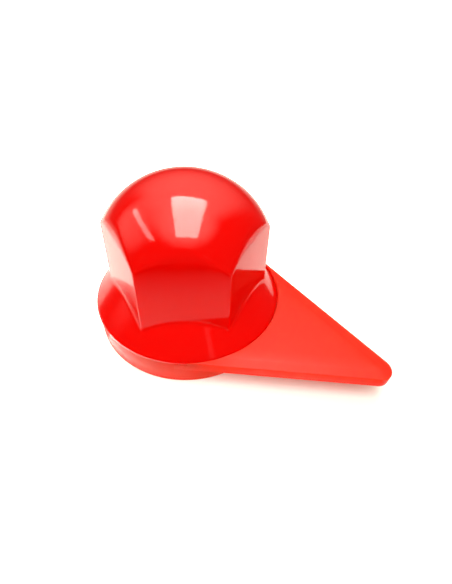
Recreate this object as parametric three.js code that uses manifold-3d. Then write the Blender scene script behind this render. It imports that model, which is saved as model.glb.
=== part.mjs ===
// Dust cover for a truck wheel nut, with a loose-nut pointer.
//
// Three mouldings share one axis, the nut's. The grip ring is pressed on to the nut. The pointer ring turns
// round it, so that the pointer can be set. The nut cover is pushed down over the nut and pulls off upwards.
// Millimetres, +Z up. The origin is on the nut's axis at the seat, and the pointer lies along +X.

import * as THREE from "three";
import { mergeVertices } from "three/addons/utils/BufferGeometryUtils.js";
import Module from "manifold-3d";

const wasm = await Module();
wasm.setup();

// Driving dimensions. PAST is how far a cutting body runs beyond the face that it cuts
const NUT_ACROSS_FLATS = 33;
const RIM_RADIUS = 26.4;
const RIM_TOP = 8.75;
const RIM_LIP = 0.7;
const WALL = 1.6;
const GAP = 0.3;
const ROUND_STEPS = 60;
const PAST = 1;

// Nut cover
const SKIRT_SLOPE = 1.03;
const HEX_APOTHEM = 19.2;
const HEX_APOTHEM_HEIGHT = 16;
const HEX_TAPER = 0.0016;
const HEX_CORNER_RADIUS = 0.6;
const HOLLOW_CORNER_RADIUS = 0.4;
const HEX_BODY_TOP = 60;
const HEX_CORNER_STEPS = 3;
const DOME_RADIUS = 24.8;
const DOME_CENTRE_HEIGHT = 19.6;
const DOME_STEPS = 12;
const SKIRT_CORE_RADIUS = 10;
const HOLLOW_CORE_RADIUS = 8;
const RIM_EDGE = 0.15;
const SPIGOT_OUTER = 24.2;
const SPIGOT_INNER = 22.9;
const SPIGOT_BOTTOM = 4.6;
const RIB_WIDTH = 0.8;
const RIB_SPREAD = 5;
const RIB_BOTTOM = 15;
const RIB_TOP = 30;
const RIB_CLEARANCE = 0.25;

// Pointer ring
const RING_OUTER = 26.2;
const RING_INNER = 24.5;
const RING_BOTTOM = 0.3;
const RING_RIM_GAP = 0.2;
const RING_TOP = RIM_TOP - RIM_LIP - RING_RIM_GAP;
const POINTER_LENGTH = 60;
const POINTER_TIP_RADIUS = 3.4;
const POINTER_RISE = 0.6;
const POINTER_TOP = RIM_TOP + POINTER_RISE;
const POINTER_THICKNESS = 3.45;
const POINTER_BEVEL_WIDTH = 2.2;
const POINTER_BEVEL_HEIGHT = 0.3;
const TIP_STEPS = 10;
const WALL_OVERLAP = 0.2;
const SHELF_OVERLAP = 0.5;
const SHELF_STEPS = 18;
const SHELF_BOTTOM = 2;
const SHELF_TOP = 3.6;
const TOOTH_COUNT = 24;
const TOOTH_TIP = 21.4;
const TOOTH_ROOT = 22;

// Grip ring
const SEAT_FLANGE_RADIUS = 23.9;
const SEAT_FLANGE_TOP = SHELF_BOTTOM - GAP;
const SLEEVE_RADIUS = 20.6;
const SLEEVE_TOP = 9.4;
const BORE_CLEARANCE = 0.1;
const LEAD_IN_RADIUS = 19.7;
const LEAD_IN_HEIGHT = 1.6;
const LEAD_IN_SLOPE_WIDTH = 1;
const BORE_POINTS = 12;
const FINGER_COUNT = 6;
const FINGER_HOOK_RADIUS = 22.1;
const FINGER_HOOK_HEIGHT = 1.2;
const FINGER_HALF_ANGLE = 0.2;
const FINGER_ROOT = 0.4;
const FINGER_STEPS = 4;
const FINGER_SLOT = 1.6;
const FINGER_SLOT_DEPTH = 5;
const DETENT_SIDE = 0.7;

// A closed solid from a closed geometry
function solid(geometry) {
  const bare = geometry.clone();
  bare.deleteAttribute("normal");
  bare.deleteAttribute("uv");
  const merged = mergeVertices(bare, 1e-4);
  const corners = [];
  for (let i = 0; i < merged.index.count; i += 3) {
    const [a, b, c] = [0, 1, 2].map((k) => merged.index.getX(i + k));
    if (a !== b && b !== c && c !== a) corners.push(a, b, c);
  }
  const triVerts = new Uint32Array(corners);
  const vertProperties = new Float32Array(merged.attributes.position.array);
  return new wasm.Manifold(new wasm.Mesh({ numProp: 3, vertProperties, triVerts }));
}

// A body turned about Z, from a profile of [radius, height] points that runs with its inside on the left
function turned(profile, steps = ROUND_STEPS) {
  const points = profile.map(([radius, height]) => new THREE.Vector2(radius, height));
  return solid(new THREE.LatheGeometry(points, steps).rotateX(Math.PI / 2));
}

// A turned ring of rectangular section
function band(inner, outer, bottom, top) {
  return turned([[inner, bottom], [outer, bottom], [outer, top], [inner, top], [inner, bottom]]);
}

// A turned disc that reaches the axis
function disc(radius, bottom, top) {
  return turned([[0, bottom], [radius, bottom], [radius, top], [0, top]]);
}

function extruded(shape, bottom, top, curveSegments = 6) {
  const options = { depth: top - bottom, bevelEnabled: false, curveSegments };
  return solid(new THREE.ExtrudeGeometry(shape, options).translate(0, 0, bottom));
}

// A box given by its lowest and highest corner, turned about Z
function block(low, high, angle = 0) {
  const size = high.map((value, i) => value - low[i]);
  const middle = high.map((value, i) => (value + low[i]) / 2);
  return solid(new THREE.BoxGeometry(...size).translate(...middle).rotateZ(angle));
}

function polar(radius, angle) {
  return new THREE.Vector2(radius * Math.cos(angle), radius * Math.sin(angle));
}

// A hexagon with rounded corners, with one flat square to +X
function hexagonShape(apothem, cornerRadius) {
  const shape = new THREE.Shape();
  const centreRadius = (apothem - cornerRadius) / Math.cos(Math.PI / 6);
  for (let i = 0; i < 6; i += 1) {
    const angle = Math.PI / 6 + (i * Math.PI) / 3;
    const centre = polar(centreRadius, angle);
    shape.absarc(centre.x, centre.y, cornerRadius, angle - Math.PI / 6, angle + Math.PI / 6);
  }
  return shape;
}

// A hexagonal prism that narrows upwards as the cover's flats do
function hexagonBody(inset, bottom, top) {
  const cornerRadius = Math.max(HEX_CORNER_RADIUS - inset, HOLLOW_CORNER_RADIUS);
  const shape = hexagonShape(HEX_APOTHEM - inset, cornerRadius);
  const options = { depth: top - bottom, bevelEnabled: false, curveSegments: HEX_CORNER_STEPS };
  const geometry = new THREE.ExtrudeGeometry(shape, options).translate(0, 0, bottom);
  const position = geometry.attributes.position;
  for (let i = 0; i < position.count; i += 1) {
    const narrow = 1 - HEX_TAPER * (position.getZ(i) - HEX_APOTHEM_HEIGHT);
    position.setXY(i, position.getX(i) * narrow, position.getY(i) * narrow);
  }
  return solid(geometry);
}

// The ball that rounds off the top of the hexagon, on a straight stem
function domeBody(inset, bottom) {
  const radius = DOME_RADIUS - inset;
  const profile = [[0, bottom], [radius, bottom]];
  for (let i = 0; i <= DOME_STEPS; i += 1) {
    const angle = (i / DOME_STEPS) * (Math.PI / 2);
    const height = DOME_CENTRE_HEIGHT + radius * Math.sin(angle);
    profile.push([i === DOME_STEPS ? 0 : radius * Math.cos(angle), height]);
  }
  return turned(profile);
}

// Height of the skirt's outer face at a radius
function skirtHeight(radius) {
  return RIM_TOP + (RIM_RADIUS - radius) * SKIRT_SLOPE;
}

function skirtBody() {
  const lipBottom = RIM_TOP - RIM_LIP;
  const coreHeight = skirtHeight(SKIRT_CORE_RADIUS);
  const edgeRadius = RIM_RADIUS - RIM_EDGE;
  return turned([
    [0, lipBottom],
    [edgeRadius, lipBottom],
    [RIM_RADIUS, lipBottom + RIM_EDGE],
    [RIM_RADIUS, RIM_TOP - RIM_EDGE],
    [edgeRadius, skirtHeight(edgeRadius)],
    [SKIRT_CORE_RADIUS, coreHeight],
    [0, coreHeight],
  ]);
}

function skirtHollow() {
  const drop = WALL * Math.hypot(1, SKIRT_SLOPE);
  const coreHeight = skirtHeight(HOLLOW_CORE_RADIUS) - drop;
  return turned([
    [0, SPIGOT_BOTTOM - PAST],
    [SPIGOT_INNER, SPIGOT_BOTTOM - PAST],
    [SPIGOT_INNER, skirtHeight(SPIGOT_INNER) - drop],
    [HOLLOW_CORE_RADIUS, coreHeight],
    [0, coreHeight],
  ]);
}

// Two crush ribs on each inner flat centre the cover on the nut
function crushRibs() {
  const ribs = [];
  const nutFace = NUT_ACROSS_FLATS / 2 + RIB_CLEARANCE;
  for (let flat = 0; flat < 6; flat += 1) {
    for (const side of [-RIB_SPREAD, RIB_SPREAD]) {
      const low = [nutFace, side - RIB_WIDTH / 2, RIB_BOTTOM];
      const high = [HEX_APOTHEM - WALL / 2, side + RIB_WIDTH / 2, RIB_TOP];
      ribs.push(block(low, high, (flat * Math.PI) / 3));
    }
  }
  return ribs;
}

function nutCover() {
  const cap = hexagonBody(0, RIM_TOP, HEX_BODY_TOP).intersect(domeBody(0, RIM_TOP));
  const hexHollow = hexagonBody(WALL, SPIGOT_BOTTOM, HEX_BODY_TOP);
  const capHollow = hexHollow.intersect(domeBody(WALL, SPIGOT_BOTTOM));
  let cover = cap.add(skirtBody());
  cover = cover.add(band(SPIGOT_INNER - PAST, SPIGOT_OUTER, SPIGOT_BOTTOM, RIM_TOP + PAST));
  cover = cover.subtract(skirtHollow()).subtract(capHollow);
  for (const rib of crushRibs()) cover = cover.add(rib);
  return cover;
}

// The outline of the pointer: two straight edges that leave the rim's circle and meet the tip's arc
function pointerShape() {
  const tipCentre = POINTER_LENGTH - POINTER_TIP_RADIUS;
  const spread = Math.acos((RIM_RADIUS - POINTER_TIP_RADIUS) / tipCentre);
  const near = polar(RIM_RADIUS, -spread);
  const far = polar(RIM_RADIUS, spread);
  const shape = new THREE.Shape();
  shape.moveTo(far.x, far.y);
  shape.lineTo(near.x, near.y);
  shape.absarc(tipCentre, 0, POINTER_TIP_RADIUS, -spread, spread);
  return shape;
}

// The pointer's crown: its top outline lies inside its bottom one, so that the border slopes down
function pointerCrown(bottom, top) {
  const options = { depth: top - bottom, bevelEnabled: false, curveSegments: TIP_STEPS };
  const geometry = new THREE.ExtrudeGeometry(pointerShape(), options);
  const position = geometry.attributes.position;
  const tipCentre = new THREE.Vector2(POINTER_LENGTH - POINTER_TIP_RADIUS, 0);
  const ringCentre = new THREE.Vector2(0, 0);
  for (let i = 0; i < position.count; i += 1) {
    if (position.getZ(i) === 0) continue;
    const corner = new THREE.Vector2(position.getX(i), position.getY(i));
    const centre = corner.x > RIM_RADIUS ? tipCentre : ringCentre;
    const outward = corner.clone().sub(centre).normalize();
    corner.addScaledVector(outward, -POINTER_BEVEL_WIDTH);
    position.setXY(i, corner.x, corner.y);
  }
  return solid(geometry.translate(0, 0, bottom));
}

// The pointer's blade: a flat plate under its crown
function pointerBlade() {
  const shoulder = POINTER_TOP - POINTER_BEVEL_HEIGHT;
  const plate = extruded(pointerShape(), POINTER_TOP - POINTER_THICKNESS, shoulder, TIP_STEPS);
  return plate.add(pointerCrown(shoulder, POINTER_TOP));
}

// The toothed shelf inside the ring, which clicks round the grip ring
function toothedShelf() {
  const shape = new THREE.Shape().absarc(0, 0, RING_INNER + SHELF_OVERLAP, 0, 2 * Math.PI);
  const teeth = new THREE.Path();
  for (let i = 0; i < TOOTH_COUNT; i += 1) {
    const tip = polar(TOOTH_TIP, (i * 2 * Math.PI) / TOOTH_COUNT);
    const root = polar(TOOTH_ROOT, ((i + 0.5) * 2 * Math.PI) / TOOTH_COUNT);
    if (i === 0) teeth.moveTo(tip.x, tip.y);
    else teeth.lineTo(tip.x, tip.y);
    teeth.lineTo(root.x, root.y);
  }
  teeth.closePath();
  shape.holes.push(teeth);
  return extruded(shape, SHELF_BOTTOM, SHELF_TOP, SHELF_STEPS);
}

function pointerRing() {
  const blade = pointerBlade()
    .subtract(disc(RING_OUTER - WALL_OVERLAP, 0, RING_TOP))
    .subtract(disc(RIM_RADIUS + GAP, RING_TOP, POINTER_TOP + PAST));
  return band(RING_INNER, RING_OUTER, RING_BOTTOM, RING_TOP).add(blade).add(toothedShelf());
}

// Twelve points: two hexagons of the nut's size, one turned by half a flat
function twelvePointBore() {
  const apothem = NUT_ACROSS_FLATS / 2 + BORE_CLEARANCE;
  const pointRadius = apothem / Math.cos(Math.PI / 6);
  const valleyRadius = apothem / Math.cos(Math.PI / BORE_POINTS);
  const shape = new THREE.Shape();
  for (let i = 0; i < BORE_POINTS; i += 1) {
    const point = polar(pointRadius, (i * 2 * Math.PI) / BORE_POINTS);
    const valley = polar(valleyRadius, ((i + 0.5) * 2 * Math.PI) / BORE_POINTS);
    if (i === 0) shape.moveTo(point.x, point.y);
    else shape.lineTo(point.x, point.y);
    shape.lineTo(valley.x, valley.y);
  }
  shape.closePath();
  return extruded(shape, -PAST, SLEEVE_TOP + PAST);
}

// The funnel at the seat that leads the nut into the bore
function leadIn() {
  const slope = LEAD_IN_SLOPE_WIDTH / PAST;
  const top = LEAD_IN_HEIGHT * 2;
  const outer = LEAD_IN_RADIUS + LEAD_IN_SLOPE_WIDTH;
  return turned([[0, -PAST], [outer, -PAST], [LEAD_IN_RADIUS - slope * top, top], [0, top]]);
}

// A hook that snaps over the pointer ring's shelf
function fingerHook(angle) {
  const shape = new THREE.Shape();
  const bottomOfHook = SHELF_TOP + GAP;
  shape.absarc(0, 0, FINGER_HOOK_RADIUS, angle - FINGER_HALF_ANGLE, angle + FINGER_HALF_ANGLE);
  const root = SLEEVE_RADIUS - FINGER_ROOT;
  shape.absarc(0, 0, root, angle + FINGER_HALF_ANGLE, angle - FINGER_HALF_ANGLE, true);
  return extruded(shape, bottomOfHook, bottomOfHook + FINGER_HOOK_HEIGHT, FINGER_STEPS);
}

// The bump that rides over the shelf's teeth
function detent(angle) {
  const half = DETENT_SIDE / 2;
  const bump = new THREE.BoxGeometry(DETENT_SIDE, DETENT_SIDE, SHELF_TOP - SEAT_FLANGE_TOP + half);
  bump.rotateZ(Math.PI / 4).translate(SLEEVE_RADIUS, 0, (SHELF_TOP + SEAT_FLANGE_TOP) / 2);
  return solid(bump.rotateZ(angle));
}

function fingerSlot(angle) {
  const low = [SLEEVE_RADIUS - FINGER_SLOT_DEPTH, -FINGER_SLOT / 2, SHELF_TOP];
  const high = [FINGER_HOOK_RADIUS + PAST, FINGER_SLOT / 2, SLEEVE_TOP + PAST];
  return block(low, high, angle);
}

function gripRing() {
  let ring = disc(SEAT_FLANGE_RADIUS, 0, SEAT_FLANGE_TOP).add(disc(SLEEVE_RADIUS, 0, SLEEVE_TOP));
  for (let i = 0; i < FINGER_COUNT; i += 1) {
    const angle = (i * 2 * Math.PI) / FINGER_COUNT;
    ring = ring.add(fingerHook(angle)).add(detent(angle));
  }
  ring = ring.subtract(twelvePointBore()).subtract(leadIn());
  for (let i = 0; i < FINGER_COUNT; i += 1) {
    ring = ring.subtract(fingerSlot(((i + 0.5) * 2 * Math.PI) / FINGER_COUNT));
  }
  return ring;
}

function plastic(color, roughness) {
  return new THREE.MeshStandardMaterial({ color, roughness, metalness: 0 });
}

// A named mesh from a finished solid
function piece(name, body, material) {
  const { vertProperties, triVerts } = body.getMesh();
  const geometry = new THREE.BufferGeometry();
  geometry.setAttribute("position", new THREE.BufferAttribute(new Float32Array(vertProperties), 3));
  geometry.setIndex(new THREE.BufferAttribute(new Uint32Array(triVerts), 1));
  geometry.computeVertexNormals();
  const mesh = new THREE.Mesh(geometry, material);
  mesh.name = name;
  return mesh;
}

const assembly = new THREE.Group();
assembly.add(piece("nut_cover", nutCover(), plastic(0xe01008, 0.12)));
assembly.add(piece("pointer_ring", pointerRing(), plastic(0xe8321e, 0.4)));
assembly.add(piece("grip_ring", gripRing(), plastic(0xd42a1a, 0.5)));

export default assembly;
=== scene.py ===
"""A truck wheel nut's dust cover with a loose-nut pointer, in red plastic, on a white table.

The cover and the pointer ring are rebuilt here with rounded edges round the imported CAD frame. The hidden
grip ring keeps its CAD shape and gets softened edges. Sizes are in millimetres and are made metres by MM.
Where a size is in metres or an angle in radians, a comment says so. Other angles are in degrees.
"""

import math

import bmesh
import bpy
import numpy as np
from mathutils import Matrix, Vector

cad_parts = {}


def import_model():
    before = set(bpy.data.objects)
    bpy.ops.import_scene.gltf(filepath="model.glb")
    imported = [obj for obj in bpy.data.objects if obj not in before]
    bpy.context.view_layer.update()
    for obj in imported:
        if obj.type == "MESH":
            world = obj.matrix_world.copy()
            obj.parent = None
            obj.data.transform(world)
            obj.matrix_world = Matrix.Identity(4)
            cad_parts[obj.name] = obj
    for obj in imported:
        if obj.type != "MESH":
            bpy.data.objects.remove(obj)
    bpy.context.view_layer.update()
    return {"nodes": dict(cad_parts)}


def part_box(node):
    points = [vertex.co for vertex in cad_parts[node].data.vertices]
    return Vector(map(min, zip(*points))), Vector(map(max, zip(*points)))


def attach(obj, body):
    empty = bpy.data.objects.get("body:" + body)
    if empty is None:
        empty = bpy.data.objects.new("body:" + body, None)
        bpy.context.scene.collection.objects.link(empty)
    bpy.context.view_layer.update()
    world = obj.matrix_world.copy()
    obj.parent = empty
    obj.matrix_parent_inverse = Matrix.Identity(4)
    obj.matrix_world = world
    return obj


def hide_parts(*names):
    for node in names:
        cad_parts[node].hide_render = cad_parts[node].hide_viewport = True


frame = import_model()
MM = 0.001

# Sizes taken from the CAD nodes' boxes
COVER_LOW, COVER_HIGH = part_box("nut_cover")
RING_LOW, RING_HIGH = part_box("pointer_ring")
RIM_RADIUS = COVER_HIGH.x / MM
DOME_TOP = COVER_HIGH.z / MM
SPIGOT_BOTTOM = COVER_LOW.z / MM
POINTER_TOP = RING_HIGH.z / MM
POINTER_LENGTH = RING_HIGH.x / MM
RING_OUTER = -RING_LOW.x / MM
RING_BOTTOM = RING_LOW.z / MM

# The cover: a tapered hexagon cut by a ball, on a skirt that ends in a thin round lip
POINTER_RISE = 0.6
RIM_TOP = POINTER_TOP - POINTER_RISE
WALL = 1.6
LIP_HEIGHT = 0.62
LIP_EDGE = 0.22
LIP_SHOULDER = 40
SKIRT_SLOPE = 1.03
HEX_APOTHEM = 19.2
HEX_APOTHEM_HEIGHT = 16.0
HEX_TAPER = 0.0016
HEX_CORNER = 0.5
DOME_RADIUS = 24.8
DOME_CENTRE = DOME_TOP - DOME_RADIUS
SPIGOT_OUTER = 24.2
SPIGOT_INNER = 22.9
SPIGOT_NECK = 0.2
SPIGOT_EDGE = 0.3
RIB_INNER = 16.75
RIB_OFFSET = 5.0
RIB_WIDTH = 0.8
RIB_HEIGHTS = (15.0, 30.0)

# How widely the cover's surfaces round into each other. The dome's edge has one value at the hexagon's
# corners and one in the middle of its flats
DOME_EDGE_BLEND = (0.3, 1.7)
SKIRT_BLEND = 0.6
HOLLOW_DOME_BLEND = 1.2
HOLLOW_SKIRT_BLEND = 0.8

# The cover's skin is found along rays from a point on the axis
RAY_CENTRE = 12.0
RAY_LENGTH = 45.0
RAY_HALVINGS = 48
SKIN_STEPS = 190
HOLLOW_STEPS = 70
POINTS_PER_FLAT = 40
CORNER_CROWDING = 0.72

# The pointer ring
RING_INNER = 24.5
RING_TOP = 7.95
RING_EDGE = 0.2
RING_STEPS = 240
SHELF = (2.0, 3.6)
SHELF_EDGE = 0.15
SHELF_OVERLAP = 0.4
TOOTH_COUNT = 24
TOOTH_STEPS = 10
TOOTH_TIP, TOOTH_ROOT = 21.4, 22.0
TIP_RADIUS = 3.4
SMALLEST_TIP = 0.3
POINTER_THICKNESS = 3.45
POINTER_EDGE = 0.3
BORDER_WIDTH = 2.5
STEP_HEIGHT = 0.22
STEP_RUN = 1.1
STEP_SHARES = (0.06, 0.18, 0.34, 0.5, 0.66, 0.8, 0.9, 0.96, 1)
STEP_SLOWING = 0.95
NOTCH_RADIUS = 26.62

# How far the cutters reach into the ring's wall, and past what they cut
BORE_OVERLAP = 0.6
PAST = 1

# How far the panels on the floor stand above it
CARD_HEIGHT = 0.3

# The plastic's surface, in metres and waves per metre
DRIFT_SCALE = 45
WAVE_SCALE = 90
WAVE_HEIGHT = 0.00006
GRAIN_SCALE = 2600
GRAIN_HEIGHT = 0.00002
ROUGHNESS_DRIFT = (0.8, 1.25)
PLASTIC_IOR = 1.45
SPREAD_BY_COLOR = (1.0, 0.05, 0.03)

# The lights, in metres. Azimuths run from +X towards +Y
WALL_AZIMUTH = 115
CAMERA_AZIMUTH = WALL_AZIMUTH + 180
RIGHT_AZIMUTH = WALL_AZIMUTH - 90
KEY_POWER = 2.6
KEY_SIZE = 0.45
KEY_ELEVATION = 72
KEY_DISTANCE = 0.6
CEILING_HEIGHT = 0.6

# The world: each edge is (dark, lit) for a ramp. The wall is brighter higher up, and wider at its top
WALL_SPREAD = 0.77
WALL_LEAN = 0.475
WALL_EDGE = (-0.15, 0.25)
WALL_FALLOFF = 1.8
WALL_LIGHT = 6
CEILING_EDGE = (0.78, 0.95)
CEILING_LIGHT = 6
CURTAIN = (-162, 36)
CURTAIN_EDGE = (0.855, 0.995)
CURTAIN_LIGHT = 2.8
FAR_FLOOR_AZIMUTH = WALL_AZIMUTH + 30
FAR_FLOOR_EDGE = (0.02, -0.2)
FAR_FLOOR_SIDE = (0.2, 0.8)
FAR_FLOOR_LIGHT = 0.9
ROOM_LIGHT = 0.12
FILL_FROM_ABOVE, FILL_EVEN = 0.66, 0.19
BACKDROP_LIGHT = 1.3
WORLD_TINT = (1.0, 0.97, 0.80, 1)

# The table, in metres, and the colours of its glow and of the panels that only gloss sees
FLOOR_RADIUS = 0.14
FLOOR_STEPS = 96
FLOOR_GLOW_AZIMUTH = WALL_AZIMUTH + 20
FLOOR_GLOW = 1.2
FLOOR_GLOW_REACH = 0.05
PANEL_TINT = (1.0, 0.98, 0.88, 1)
FLOOR_TINT = (1.0, 0.97, 0.84, 1)


def smooth_max(a, b, k):
    """The larger of a and b, rounded off where they are within k of each other."""
    h = np.clip(1 - np.abs(a - b) / k, 0, 1)
    return np.maximum(a, b) + h * h * k / 4


def smooth_min(a, b, k):
    return -smooth_max(-a, -b, k)


def hexagon_distance(r, z, phi, inset=0.0):
    """How far outside the tapered hexagon a point is, with the hexagon's corners rounded."""
    apothem = HEX_APOTHEM * (1 - HEX_TAPER * (z - HEX_APOTHEM_HEIGHT)) - inset
    local = (phi + math.pi / 6) % (math.pi / 3) - math.pi / 6
    x, y = r * np.cos(local), np.abs(r * np.sin(local))
    inner = apothem - HEX_CORNER
    past_end = np.maximum(y - inner * math.tan(math.pi / 6), 0)
    past_flat = x - inner
    outside = np.hypot(np.maximum(past_flat, 0), past_end)
    return np.where(past_end > 0, outside, past_flat) - HEX_CORNER


def dome_distance(r, z, inset=0.0):
    return np.hypot(r, z - DOME_CENTRE) - (DOME_RADIUS - inset)


def skirt_distance(r, z, inset=0.0):
    rise = z - RIM_TOP - (RIM_RADIUS - r) * SKIRT_SLOPE
    return rise / math.hypot(1, SKIRT_SLOPE) + inset


def cover_distance(r, z, phi):
    """The cover's skin. The dome's edge is sharper at the corners than in the middle of the flats."""
    at_corner, at_middle = DOME_EDGE_BLEND
    blend = at_corner + (at_middle - at_corner) * np.cos(3 * phi) ** 2
    cap = smooth_max(hexagon_distance(r, z, phi), dome_distance(r, z), blend)
    return smooth_min(cap, skirt_distance(r, z), SKIRT_BLEND)


def hollow_distance(r, z, phi):
    hexagon = hexagon_distance(r, z, phi, WALL)
    cap = smooth_max(hexagon, dome_distance(r, z, WALL), HOLLOW_DOME_BLEND)
    return smooth_min(cap, skirt_distance(r, z, WALL), HOLLOW_SKIRT_BLEND)


def cast(distance, start, phi, steps):
    """Where rays from the axis at RAY_CENTRE leave a shape, from the elevation start, in radians, up to the
    vertical."""
    elevation = np.linspace(start, math.pi / 2, steps)[:, None] + 0 * phi[None, :]
    turn = phi[None, :] + 0 * elevation
    near, far = np.zeros_like(elevation), np.full_like(elevation, RAY_LENGTH)
    for _ in range(RAY_HALVINGS):
        middle = (near + far) / 2
        r, z = middle * np.cos(elevation), RAY_CENTRE + middle * np.sin(elevation)
        outside = distance(r, z, turn) > 0
        far = np.where(outside, middle, far)
        near = np.where(outside, near, middle)
    return np.stack([near * np.cos(elevation), RAY_CENTRE + near * np.sin(elevation)], axis=-1)


def arc(centre, radius, start, end, steps):
    """Points of an arc in a profile, as [radius, height]."""
    angles = np.radians(np.linspace(start, end, steps))
    return [[centre[0] + radius * math.cos(a), centre[1] + radius * math.sin(a)] for a in angles]


def corner_angles():
    """Angles right round, in radians, closer together at the hexagon's corners."""
    t = (np.arange(POINTS_PER_FLAT) + 0.5) / POINTS_PER_FLAT * 2 - 1
    share = np.sin(t * math.pi / 2) * CORNER_CROWDING + t * (1 - CORNER_CROWDING)
    return np.concatenate([i * math.pi / 3 + share * math.pi / 6 for i in range(6)])


def mesh_object(name, vertices, faces):
    mesh = bpy.data.meshes.new(name)
    mesh.from_pydata([tuple(v) for v in vertices], [], faces)
    mesh.validate()
    mesh.update()
    piece = bpy.data.objects.new(name, mesh)
    bpy.context.scene.collection.objects.link(piece)
    return piece


def swept(name, rows, phi, poles=True):
    """A closed skin from rows of [radius, height] at the angles phi. With poles, the first and last row are
    on the axis. Without them the rows close on themselves."""
    rows = np.asarray(rows, float)
    if rows.ndim == 2:
        rows = np.repeat(rows[:, None, :], len(phi), axis=1)
    body = rows[1:-1] if poles else rows
    count, turns = body.shape[0], len(phi)
    points = np.stack([body[..., 0] * np.cos(phi), body[..., 0] * np.sin(phi), body[..., 1]], axis=-1)
    vertices = list(points.reshape(-1, 3) * MM)
    faces = []
    for i in range(count if not poles else count - 1):
        below, above = i * turns, ((i + 1) % count) * turns
        for j in range(turns):
            k = (j + 1) % turns
            faces.append((below + j, below + k, above + k, above + j))
    if poles:
        for row, height in ((0, rows[0, 0, 1]), (count - 1, rows[-1, 0, 1])):
            pole = len(vertices)
            vertices.append(np.array([0, 0, height * MM]))
            for j in range(turns):
                a, b = row * turns + j, row * turns + (j + 1) % turns
                faces.append((pole, b, a) if row == 0 else (pole, a, b))
    piece = mesh_object(name, vertices, faces)
    face_outward(piece)
    return piece


def face_outward(piece):
    work = bmesh.new()
    work.from_mesh(piece.data)
    bmesh.ops.recalc_face_normals(work, faces=work.faces)
    if work.calc_volume(signed=True) < 0:
        bmesh.ops.reverse_faces(work, faces=work.faces)
    work.to_mesh(piece.data)
    work.free()


def combine(piece, others, operation):
    """Joins or cuts a piece with closed tools, which are then removed."""
    for other in others:
        modifier = piece.modifiers.new("combine", "BOOLEAN")
        modifier.operation = operation
        modifier.object = other
        modifier.solver = "MANIFOLD"
    bpy.context.view_layer.update()
    evaluated = piece.evaluated_get(bpy.context.evaluated_depsgraph_get())
    made = bpy.data.meshes.new_from_object(evaluated)
    piece.modifiers.clear()
    piece.data = made
    for other in others:
        bpy.data.objects.remove(other)
    return piece


def shade(piece, angle=32):
    piece.data.polygons.foreach_set("use_smooth", [True] * len(piece.data.polygons))
    piece.data.set_sharp_from_angle(angle=math.radians(angle))
    return piece


def rounded_block(name, low, high, turn, edge=0.12):
    """A block with softened edges, turned about the nut's axis by turn, in radians."""
    work = bmesh.new()
    bmesh.ops.create_cube(work, size=1)
    size = [h - l for l, h in zip(low, high)]
    middle = [(h + l) / 2 for l, h in zip(low, high)]
    bmesh.ops.scale(work, vec=size, verts=work.verts)
    bmesh.ops.bevel(work, geom=work.edges[:], offset=edge, segments=2, profile=0.5, affect="EDGES")
    bmesh.ops.translate(work, vec=middle, verts=work.verts)
    bmesh.ops.transform(work, matrix=Matrix.Rotation(turn, 4, "Z"), verts=work.verts)
    bmesh.ops.scale(work, vec=(MM, MM, MM), verts=work.verts)
    mesh = bpy.data.meshes.new(name)
    work.to_mesh(mesh)
    work.free()
    piece = bpy.data.objects.new(name, mesh)
    bpy.context.scene.collection.objects.link(piece)
    return piece


def crush_ribs():
    """Two upright ribs on each inner flat of the hexagon."""
    ribs = []
    low_end, high_end = RIB_HEIGHTS
    for flat in range(6):
        for side in (-RIB_OFFSET, RIB_OFFSET):
            low = (RIB_INNER, side - RIB_WIDTH / 2, low_end)
            high = (HEX_APOTHEM - WALL / 2, side + RIB_WIDTH / 2, high_end)
            ribs.append(rounded_block("rib", low, high, flat * math.pi / 3))
    return ribs


def nut_cover():
    """The cover's shell: outer skin from the top down, lip, spigot, then the hollow from the bottom up."""
    phi = corner_angles()
    edge_centre = RIM_RADIUS - LIP_EDGE
    lip_bottom = RIM_TOP - LIP_HEIGHT
    just_above, clear_of_spigot = 0.004, 0.02
    rim_elevation = math.atan2(RIM_TOP - RAY_CENTRE, edge_centre)
    outer = cast(cover_distance, rim_elevation + just_above, phi, SKIN_STEPS)[::-1]
    lip = arc((edge_centre, RIM_TOP - LIP_EDGE * 0.6), LIP_EDGE, LIP_SHOULDER, 0, 5)
    lip += arc((edge_centre, lip_bottom + LIP_EDGE), LIP_EDGE, 0, -90, 5)
    spigot = [[SPIGOT_OUTER + SPIGOT_NECK, lip_bottom], [SPIGOT_OUTER, lip_bottom - SPIGOT_NECK]]
    foot = SPIGOT_BOTTOM + SPIGOT_EDGE
    spigot += arc((SPIGOT_OUTER - SPIGOT_EDGE, foot), SPIGOT_EDGE, 0, -90, 4)
    spigot += arc((SPIGOT_INNER + SPIGOT_EDGE, foot), SPIGOT_EDGE, -90, -180, 4)
    under = RIM_TOP + (RIM_RADIUS - SPIGOT_INNER) * SKIRT_SLOPE - WALL * math.hypot(1, SKIRT_SLOPE)
    spigot += [[SPIGOT_INNER, under]]
    hollow_start = math.atan2(under - RAY_CENTRE, SPIGOT_INNER) + clear_of_spigot
    inner = cast(hollow_distance, hollow_start, phi, HOLLOW_STEPS)
    middle = np.repeat(np.array(lip + spigot)[:, None, :], len(phi), axis=1)
    piece = swept("cover_shell", np.concatenate([outer, middle, inner]), phi)
    return shade(combine(piece, crush_ribs(), "UNION"))


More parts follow.
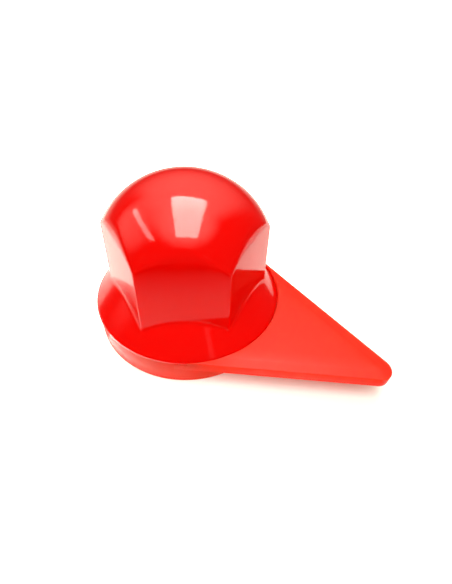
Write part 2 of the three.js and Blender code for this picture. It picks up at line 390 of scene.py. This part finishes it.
def pointer_outline(inset, edge_steps=24, tip_steps=28):
    """The pointer's outline, moved inwards: a blunt end in the ring's wall, two straight edges, the tip."""
    tip = POINTER_LENGTH - TIP_RADIUS
    spread = math.acos((RIM_RADIUS - TIP_RADIUS) / tip)
    tip_radius = max(TIP_RADIUS - inset, SMALLEST_TIP)
    tip_centre = tip + (TIP_RADIUS - inset - tip_radius) / math.cos(spread)
    start = (RIM_RADIUS - inset) * np.array([math.cos(spread), -math.sin(spread)])
    end = np.array([tip_centre + tip_radius * math.cos(spread), -tip_radius * math.sin(spread)])
    end_gap = 0.02
    near = [start + (end - start) * t for t in (0, *np.linspace(end_gap, 1 - end_gap, edge_steps))]
    point = [(tip_centre + tip_radius * math.cos(a), tip_radius * math.sin(a))
             for a in np.linspace(-spread, spread, tip_steps)]
    far = [(x, -y) for x, y in reversed(near)]
    return np.array([*near, *point, *far])


def pointer_blade():
    """The pointer's plate: a flat border, then a soft step up to a slightly higher middle."""
    bottom, border_top = POINTER_TOP - POINTER_THICKNESS, POINTER_TOP - STEP_HEIGHT
    edge = POINTER_EDGE
    section = []
    for a in np.radians(np.linspace(-90, 0, 5)):
        section.append((edge - edge * math.cos(a), bottom + edge + edge * math.sin(a)))
    for a in np.radians(np.linspace(0, 90, 6)):
        section.append((edge - edge * math.cos(a), border_top - edge + edge * math.sin(a)))
    section.append((BORDER_WIDTH, border_top))
    for share in STEP_SHARES:
        run = -math.log(1 - share * STEP_SLOWING) * STEP_RUN
        section.append((BORDER_WIDTH + run, border_top + STEP_HEIGHT * share))
    loops = []
    for inset, z in section:
        outline = pointer_outline(inset)
        loops.append(np.column_stack([outline, np.full(len(outline), z)]))
    count = len(loops[0])
    vertices = np.concatenate(loops) * MM
    faces = []
    for i in range(len(loops) - 1):
        for j in range(count):
            k = (j + 1) % count
            faces.append((i * count + j, i * count + k, (i + 1) * count + k, (i + 1) * count + j))
    faces.append(tuple(reversed(range(count))))
    last = (len(loops) - 1) * count
    faces.append(tuple(range(last, last + count)))
    piece = mesh_object("blade", vertices, faces)
    face_outward(piece)
    return piece


def notch_cutter(phi):
    """What is cut out for the cover's rim: a shallow round seat whose upper edge is rounded."""
    edge = POINTER_EDGE
    profile = [[0, RING_TOP], [NOTCH_RADIUS, RING_TOP]]
    profile += arc((NOTCH_RADIUS + edge, POINTER_TOP - edge), -edge, 0, -80, 6)
    profile += [[NOTCH_RADIUS + edge + 0.02, POINTER_TOP + PAST], [0, POINTER_TOP + PAST]]
    return swept("notch", profile, phi)


def bore_cutter(phi):
    """What is cut out of the pointer's plate inside the ring's bore. It stops inside the ring's wall."""
    radius, top = RING_INNER + BORE_OVERLAP, RING_TOP + PAST / 2
    return swept("bore", [[0, 0], [radius, 0], [radius, top], [0, top]], phi)


def ring_wall(phi):
    outer, inner = RING_OUTER - RING_EDGE, RING_INNER + RING_EDGE
    low, high = RING_BOTTOM + RING_EDGE, RING_TOP - RING_EDGE
    profile = []
    corners = ((outer, low), (outer, high), (inner, high), (inner, low))
    for corner, start in zip(corners, (-90, 0, 90, 180)):
        profile += arc(corner, RING_EDGE, start, start + 90, 4)
    return swept("pointer_wheel", profile, phi, poles=False)


def toothed_shelf():
    """The shelf inside the ring, whose bore is a wave of shallow teeth."""
    steps = TOOTH_COUNT * TOOTH_STEPS
    phi = np.arange(steps) * 2 * math.pi / steps
    wave = (1 - np.cos(phi * TOOTH_COUNT)) / 2
    bore = TOOTH_TIP + (TOOTH_ROOT - TOOTH_TIP) * wave
    outer = np.full_like(bore, RING_INNER + SHELF_OVERLAP)
    low, high = SHELF
    edge = SHELF_EDGE
    rows = [(bore + edge, low), (bore, low + edge), (bore, high - edge), (bore + edge, high)]
    rows += [(outer, high), (outer, low)]
    stacked = np.array([np.column_stack([r, np.full_like(bore, z)]) for r, z in rows])
    return swept("shelf", stacked, phi, poles=False)


def pointer_ring():
    phi = np.arange(RING_STEPS) * 2 * math.pi / RING_STEPS
    blade = combine(pointer_blade(), [notch_cutter(phi), bore_cutter(phi)], "DIFFERENCE")
    return shade(combine(ring_wall(phi), [blade, toothed_shelf()], "UNION"), 28)


def set_inputs(tree, node, inputs):
    """Sets a node's inputs, each to a value or to another node's output."""
    for key, value in inputs.items():
        if isinstance(value, bpy.types.NodeSocket):
            tree.links.new(value, node.inputs[key])
        else:
            node.inputs[key].default_value = value


def linked(tree, kind, inputs, **settings):
    """A new shader node with its settings and inputs set."""
    node = tree.nodes.new(kind)
    for name, value in settings.items():
        setattr(node, name, value)
    set_inputs(tree, node, inputs)
    return node


def ramp(tree, value, low, high):
    """0 below low and 1 above it, or the other way round where high is the lower one, with soft ends."""
    node = linked(tree, "ShaderNodeMapRange", {"Value": value, "From Min": low, "From Max": high},
                  interpolation_type="SMOOTHSTEP")
    return node.outputs["Result"]


def along(tree, vector, axis):
    node = linked(tree, "ShaderNodeVectorMath", {0: vector, 1: axis}, operation="DOT_PRODUCT")
    return node.outputs["Value"]


def maths(tree, operation, *values):
    return linked(tree, "ShaderNodeMath", dict(enumerate(values)), operation=operation).outputs[0]


def noise(tree, place, scale, detail):
    node = linked(tree, "ShaderNodeTexNoise", {"Vector": place, "Scale": scale, "Detail": detail})
    return node.outputs["Fac"]


def bump(tree, inputs):
    return linked(tree, "ShaderNodeBump", inputs).outputs["Normal"]


def plastic(name, color, deep, roughness, grain, mottle, glow, shine):
    """Moulded plastic: a slight colour drift, fine surface grain and faint unevenness from the mould. Light
    spreads glow metres under the surface, and red spreads furthest."""
    material = bpy.data.materials.new(name)
    material.use_nodes = True
    tree = material.node_tree
    place = tree.nodes.new("ShaderNodeTexCoord").outputs["Object"]
    drift = noise(tree, place, DRIFT_SCALE, 3)
    tone = linked(tree, "ShaderNodeMix", {0: drift, 6: (*deep, 1), 7: (*color, 1)}, data_type="RGBA")
    smoothest, roughest = (roughness * share for share in ROUGHNESS_DRIFT)
    gloss = linked(tree, "ShaderNodeMapRange", {"Value": drift, "To Min": smoothest, "To Max": roughest})
    waves = noise(tree, place, WAVE_SCALE, 1)
    wavy = bump(tree, {"Height": waves, "Strength": mottle, "Distance": WAVE_HEIGHT})
    grains = noise(tree, place, GRAIN_SCALE, 2)
    surface = bump(tree, {"Height": grains, "Strength": grain, "Distance": GRAIN_HEIGHT, "Normal": wavy})
    set_inputs(tree, tree.nodes["Principled BSDF"], {
        "Base Color": tone.outputs[2],
        "Roughness": gloss.outputs["Result"],
        "Normal": surface,
        "IOR": PLASTIC_IOR,
        "Specular IOR Level": shine,
        "Subsurface Weight": 1.0,
        "Subsurface Radius": SPREAD_BY_COLOR,
        "Subsurface Scale": glow,
    })
    return material


def soften_cad(node, width):
    """Bevels a CAD piece's sharp edges by a width in metres, leaving its mesh as it is."""
    piece = frame["nodes"][node]
    weld = piece.modifiers.new("weld", "WELD")
    weld.merge_threshold = 0.005 * MM
    bevel = piece.modifiers.new("bevel", "BEVEL")
    bevel.width = width
    bevel.segments = 2
    bevel.limit_method = "ANGLE"
    bevel.angle_limit = math.radians(40)
    return piece


def direction_of(azimuth, elevation):
    """A unit vector, azimuth in degrees from +X towards +Y."""
    a, e = math.radians(azimuth), math.radians(elevation)
    return Vector((math.cos(a) * math.cos(e), math.sin(a) * math.cos(e), math.sin(e)))


def world():
    """What surrounds the object. The camera sees plain white, and matt surfaces get soft light from above.
    Gloss sees a dim room: behind the object a wall that is brighter higher up, a ceiling and a pale floor,
    and to the left a curtain."""
    scene_world = bpy.data.worlds.new("studio")
    bpy.context.scene.world = scene_world
    scene_world.use_nodes = True
    tree = scene_world.node_tree
    seen = tree.nodes.new("ShaderNodeTexCoord").outputs["Generated"]
    height = along(tree, seen, (0, 0, 1))
    above = maths(tree, "MAXIMUM", height, 0)

    ahead = along(tree, seen, direction_of(WALL_AZIMUTH, 0))
    across = maths(tree, "ABSOLUTE", along(tree, seen, direction_of(RIGHT_AZIMUTH, 0)))
    lean = maths(tree, "MULTIPLY", height, WALL_LEAN)
    half_width = maths(tree, "MULTIPLY_ADD", ahead, WALL_SPREAD, lean)
    inside = ramp(tree, maths(tree, "SUBTRACT", half_width, across), *WALL_EDGE)
    wall_light = maths(tree, "MULTIPLY", maths(tree, "POWER", above, WALL_FALLOFF), WALL_LIGHT)
    wall = maths(tree, "MULTIPLY", inside, wall_light)

    ceiling = maths(tree, "MULTIPLY", ramp(tree, height, *CEILING_EDGE), CEILING_LIGHT)

    to_curtain = along(tree, seen, direction_of(*CURTAIN))
    curtain = maths(tree, "MULTIPLY", ramp(tree, to_curtain, *CURTAIN_EDGE), CURTAIN_LIGHT)

    behind = ramp(tree, along(tree, seen, direction_of(FAR_FLOOR_AZIMUTH, 0)), *FAR_FLOOR_SIDE)
    below = ramp(tree, height, *FAR_FLOOR_EDGE)
    far_floor = maths(tree, "MULTIPLY", maths(tree, "MULTIPLY", below, behind), FAR_FLOOR_LIGHT)

    wall_and_ceiling = maths(tree, "MAXIMUM", wall, ceiling)
    lights = maths(tree, "ADD", wall_and_ceiling, maths(tree, "ADD", curtain, far_floor))
    reflected = maths(tree, "ADD", lights, ROOM_LIGHT)
    fill = maths(tree, "MULTIPLY_ADD", above, FILL_FROM_ABOVE, FILL_EVEN)
    path = tree.nodes.new("ShaderNodeLightPath")
    lit = linked(tree, "ShaderNodeMix", {0: path.outputs["Is Glossy Ray"], 2: fill, 3: reflected})
    shown = linked(tree, "ShaderNodeMix",
                   {0: path.outputs["Is Camera Ray"], 2: lit.outputs[0], 3: BACKDROP_LIGHT})
    set_inputs(tree, tree.nodes["Background"], {"Color": WORLD_TINT, "Strength": shown.outputs[0]})


def key_light():
    """Soft light from above and a little in front, for shading and the soft shadow. Gloss doesn't see it."""
    light = bpy.data.lights.new("key", "AREA")
    light.shape = "DISK"
    light.size = KEY_SIZE
    light.energy = KEY_POWER
    lamp = bpy.data.objects.new("key", light)
    lamp.location = direction_of(CAMERA_AZIMUTH, KEY_ELEVATION) * KEY_DISTANCE
    lamp.rotation_euler = (-lamp.location).to_track_quat("-Z", "Y").to_euler()
    lamp.visible_glossy = False
    bpy.context.scene.collection.objects.link(lamp)


def overhead(*places):
    """Points at ceiling height, in metres, each seen from the object at an azimuth and an elevation."""
    rays = [direction_of(*place) for place in places]
    return [ray * (CEILING_HEIGHT / ray.z) for ray in rays]


def on_floor(*places):
    """Points just above the floor, each so many millimetres from the axis towards the camera, and so many to
    the camera's right."""
    near, right = direction_of(CAMERA_AZIMUTH, 0), direction_of(RIGHT_AZIMUTH, 0)
    return [(near * n + right * r + Vector((0, 0, CARD_HEIGHT))) * MM for n, r in places]


def round_ring(radius, first, last, steps=16):
    """Points just above the floor, in an arc about the axis between two azimuths, radius in millimetres."""
    return [(direction_of(azimuth, 0) * radius + Vector((0, 0, CARD_HEIGHT))) * MM
            for azimuth in np.linspace(first, last, steps)]


def gloss_panel(name, side, other_side, start, end):
    """A panel between two rows of points, seen by gloss only. Its brightness runs along the rows."""
    count = len(side)
    faces = [(i, i + 1, count + i + 1, count + i) for i in range(count - 1)]
    panel = mesh_object(name, side + other_side, faces)
    run = panel.data.uv_layers.new(name="run")
    for corner, loop in zip(run.data, panel.data.loops):
        corner.uv = (loop.vertex_index % count / (count - 1), 0.5)
    material = bpy.data.materials.new(name)
    material.use_nodes = True
    tree = material.node_tree
    tree.nodes.clear()
    place = tree.nodes.new("ShaderNodeUVMap").outputs["UV"]
    split = linked(tree, "ShaderNodeSeparateXYZ", {0: place})
    strength = linked(tree, "ShaderNodeMapRange",
                      {"Value": split.outputs[0], "To Min": start, "To Max": end})
    glow = linked(tree, "ShaderNodeEmission", {"Color": PANEL_TINT, "Strength": strength.outputs[0]})
    linked(tree, "ShaderNodeOutputMaterial", {"Surface": glow.outputs[0]})
    panel.data.materials.append(material)
    panel.visible_camera = False
    panel.visible_diffuse = False
    panel.visible_shadow = False


def floor():
    """A white table top, which glows towards the lit wall."""
    turns = [i * math.tau / FLOOR_STEPS for i in range(FLOOR_STEPS)]
    rim = [(FLOOR_RADIUS * math.cos(a), FLOOR_RADIUS * math.sin(a), 0) for a in turns]
    piece = mesh_object("floor", rim, [tuple(range(FLOOR_STEPS))])
    material = bpy.data.materials.new("white_table")
    material.use_nodes = True
    tree = material.node_tree
    place = tree.nodes.new("ShaderNodeTexCoord").outputs["Object"]
    to_light = along(tree, place, direction_of(FLOOR_GLOW_AZIMUTH, 0))
    glow = ramp(tree, to_light, -FLOOR_GLOW_REACH, FLOOR_GLOW_REACH)
    set_inputs(tree, tree.nodes["Principled BSDF"], {
        "Base Color": (0.93, 0.92, 0.88, 1),
        "Roughness": 0.6,
        "Emission Color": FLOOR_TINT,
        "Emission Strength": maths(tree, "MULTIPLY", glow, FLOOR_GLOW),
    })
    piece.data.materials.append(material)


def camera():
    """A close three-quarter view from above, turned a little about its own axis."""
    azimuth, elevation, roll = (math.radians(a) for a in (24.71, 46.19, 4.29))
    target = Vector((11.25, 4.84, 7.92)) * MM
    distance = 108.8 * MM
    back = Vector((math.sin(azimuth) * math.cos(elevation), -math.cos(azimuth) * math.cos(elevation),
                   math.sin(elevation)))
    level = Vector((math.cos(azimuth), math.sin(azimuth), 0))
    up = back.cross(level)
    right = math.cos(roll) * level + math.sin(roll) * up
    top = -math.sin(roll) * level + math.cos(roll) * up
    data = bpy.data.cameras.new("camera")
    data.sensor_width = 36
    data.lens = 22.30027
    data.shift_x, data.shift_y = -0.006, 0.003
    data.clip_start, data.clip_end = 0.005, 10
    eye = bpy.data.objects.new("camera", data)
    turn = Matrix((right, top, back)).transposed().to_4x4()
    eye.matrix_world = Matrix.Translation(target + back * distance) @ turn
    bpy.context.scene.collection.objects.link(eye)
    bpy.context.scene.camera = eye


camera()
world()
floor()
key_light()
gloss_panel("skylight", overhead((147, 60), (-83, 65.5)), overhead((85, 59), (-30, 64.7)), 38, 31)
gloss_panel("window_gap", overhead((178, 35), (-119, 51.5)), overhead((180, 31.5), (-123, 46.5)), 19, 13)
gloss_panel("doorway", overhead((-37, 42), (-37, 28)), overhead((-31, 42), (-31, 28)), 1.2, 0.8)
# Painted reflections: glowing panels that only gloss sees stand in for the floor as the object reflects it.
# They give a lit floor fading towards the camera, the floor in shade, and brightly lit floor beside the ring
# and the pointer.
gloss_panel("floor_glow_fading", on_floor((46, -32), (60, -32)), on_floor((46, 32), (60, 32)), 1.2, 0)
gloss_panel("floor_in_shade", on_floor((60, -32), (138, -60)), on_floor((60, 32), (138, 60)), 0, 0)
gloss_panel("floor_glow_by_ring", round_ring(26.8, -50, -122), round_ring(35, -50, -122), 0.8, 8)
gloss_panel("floor_glow_by_pointer", on_floor((28, 16), (28, 54)), on_floor((36, 16), (36, 54)), 3, 1.3)

gloss_red = plastic("gloss_red", (0.84, 0.003, 0.0015), (0.80, 0.002, 0.001),
                    roughness=0.07, grain=0.05, mottle=0.12, glow=0.002, shine=0.2)
satin_red = plastic("satin_red", (0.83, 0.028, 0.008), (0.80, 0.024, 0.006),
                    roughness=0.42, grain=0.25, mottle=0.15, glow=0.004, shine=0.08)
hidden_red = plastic("hidden_red", (0.86, 0.036, 0.018), (0.80, 0.030, 0.015),
                     roughness=0.45, grain=0.3, mottle=0.2, glow=0.003, shine=0.1)

cover = nut_cover()
cover.data.materials.clear()
cover.data.materials.append(gloss_red)
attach(cover, "cover")
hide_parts("nut_cover")

ring = pointer_ring()
ring.data.materials.clear()
ring.data.materials.append(satin_red)
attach(ring, "pointer")
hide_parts("pointer_ring")

grip = soften_cad("grip_ring", 0.18 * MM)
grip.data.materials.clear()
grip.data.materials.append(hidden_red)

bpy.context.scene.view_settings.view_transform = "Standard"
